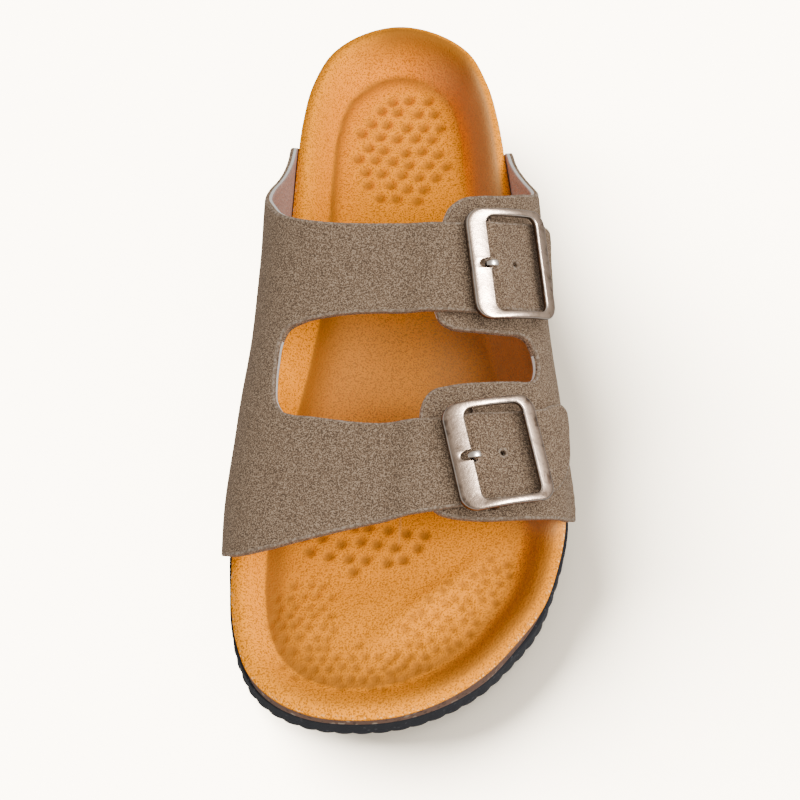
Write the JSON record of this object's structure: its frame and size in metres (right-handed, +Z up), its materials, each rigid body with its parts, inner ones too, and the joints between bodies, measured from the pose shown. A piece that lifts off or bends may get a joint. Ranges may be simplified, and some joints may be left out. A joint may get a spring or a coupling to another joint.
{
  "type": "two-strap footbed sandal",
  "caption": "Left two-strap footbed sandal with a suede upper, metal frame buckles, a contoured cork footbed under a tan cover and a dark ribbed sole with toe spring.",
  "frame": {"origin": "on the flat underside of the outsole, on the middle line of the heel and near the middle of the length", "axes": "+Z up, the toe points to -Y and the heel to +Y, +X is the outer side of the left foot with the buckles"},
  "size_m": [0.1095, 0.2603, 0.0868],
  "materials": {
    "suede": "taupe suede with a short fuzzy nap",
    "footbed": "tan suede cover, matt",
    "cork": "sealed dark cork with pale flecks",
    "rubber": "matt blue-black foam rubber",
    "nickel": "worn antique nickel plate"
  },
  "bodies": {
    "root": {"outsole": "rubber", "midsole": "cork", "insole": "footbed", "upper_medial": "suede", "upper_lateral": "suede", "buckle_frame_rear": "nickel", "buckle_frame_front": "nickel", "buckle_axle_rear": "nickel", "buckle_axle_front": "nickel", "buckle_prong_rear": "nickel", "buckle_prong_front": "nickel"}
  },
  "joints": []
}
